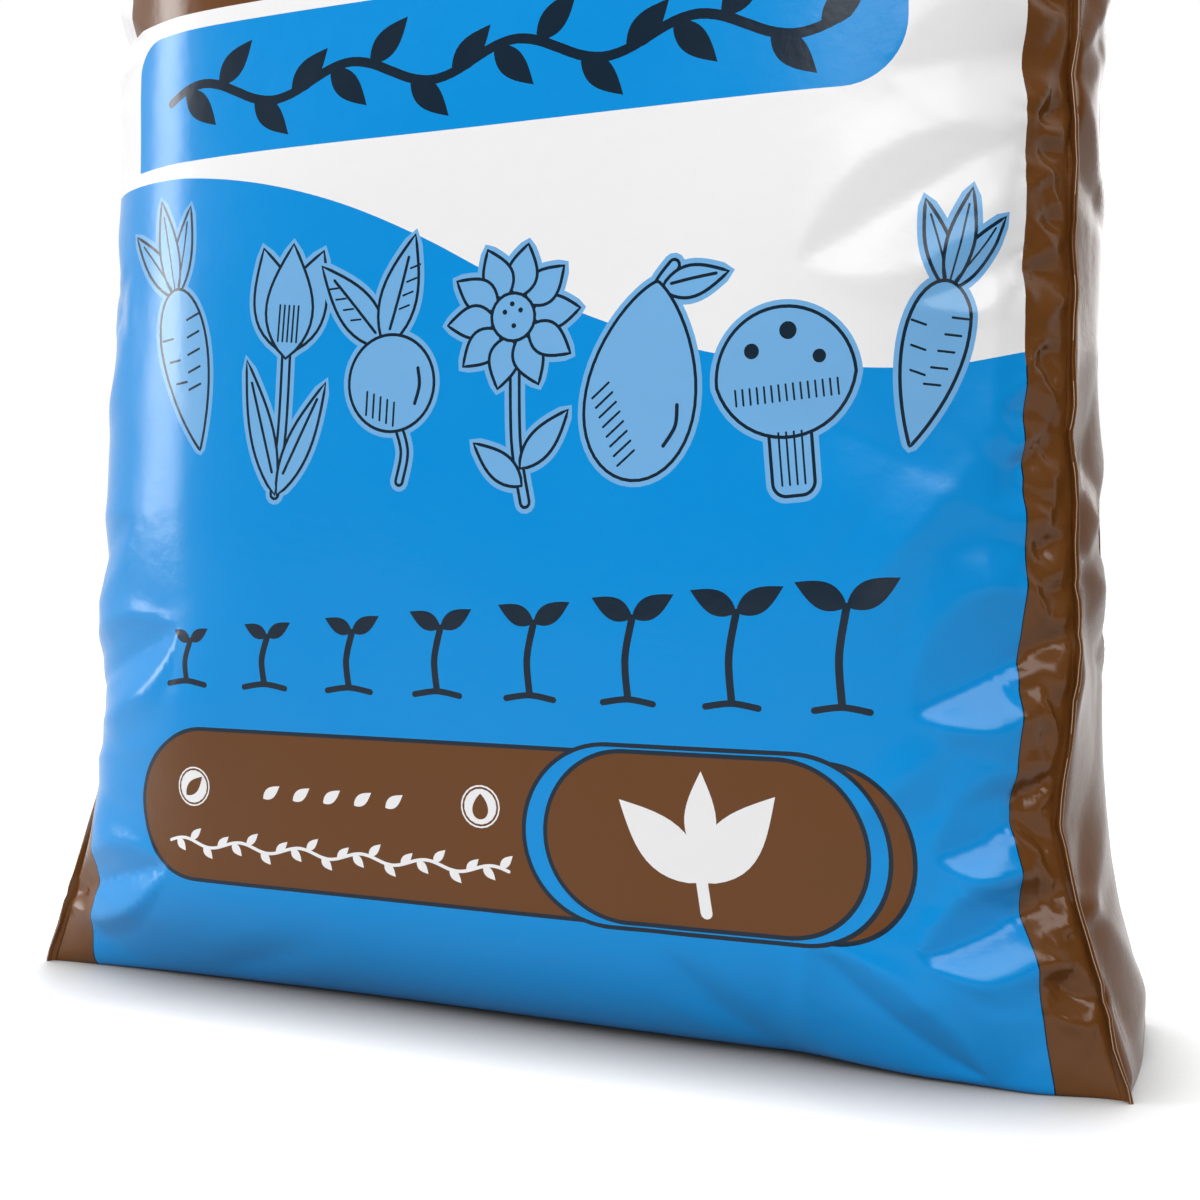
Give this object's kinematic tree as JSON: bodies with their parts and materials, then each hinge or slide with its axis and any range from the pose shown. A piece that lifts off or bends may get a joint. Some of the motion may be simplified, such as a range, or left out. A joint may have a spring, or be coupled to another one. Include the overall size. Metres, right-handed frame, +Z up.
{
  "type": "compost bag",
  "caption": "Sealed plastic film sack of garden compost, standing on its flat base, with pressed edge seams, pointed base corners and a flat welded header.",
  "frame": {"origin": "middle of the base, on the surface that the bag stands on", "axes": "+Z up along the bag's height, +Y from the printed front to the back, +X along the bag's width"},
  "size_m": [0.4358, 0.1328, 0.6],
  "materials": {
    "printed_film": "glossy printed polyethylene film"
  },
  "bodies": {
    "root": {"compost_bag": "printed_film"}
  },
  "joints": []
}
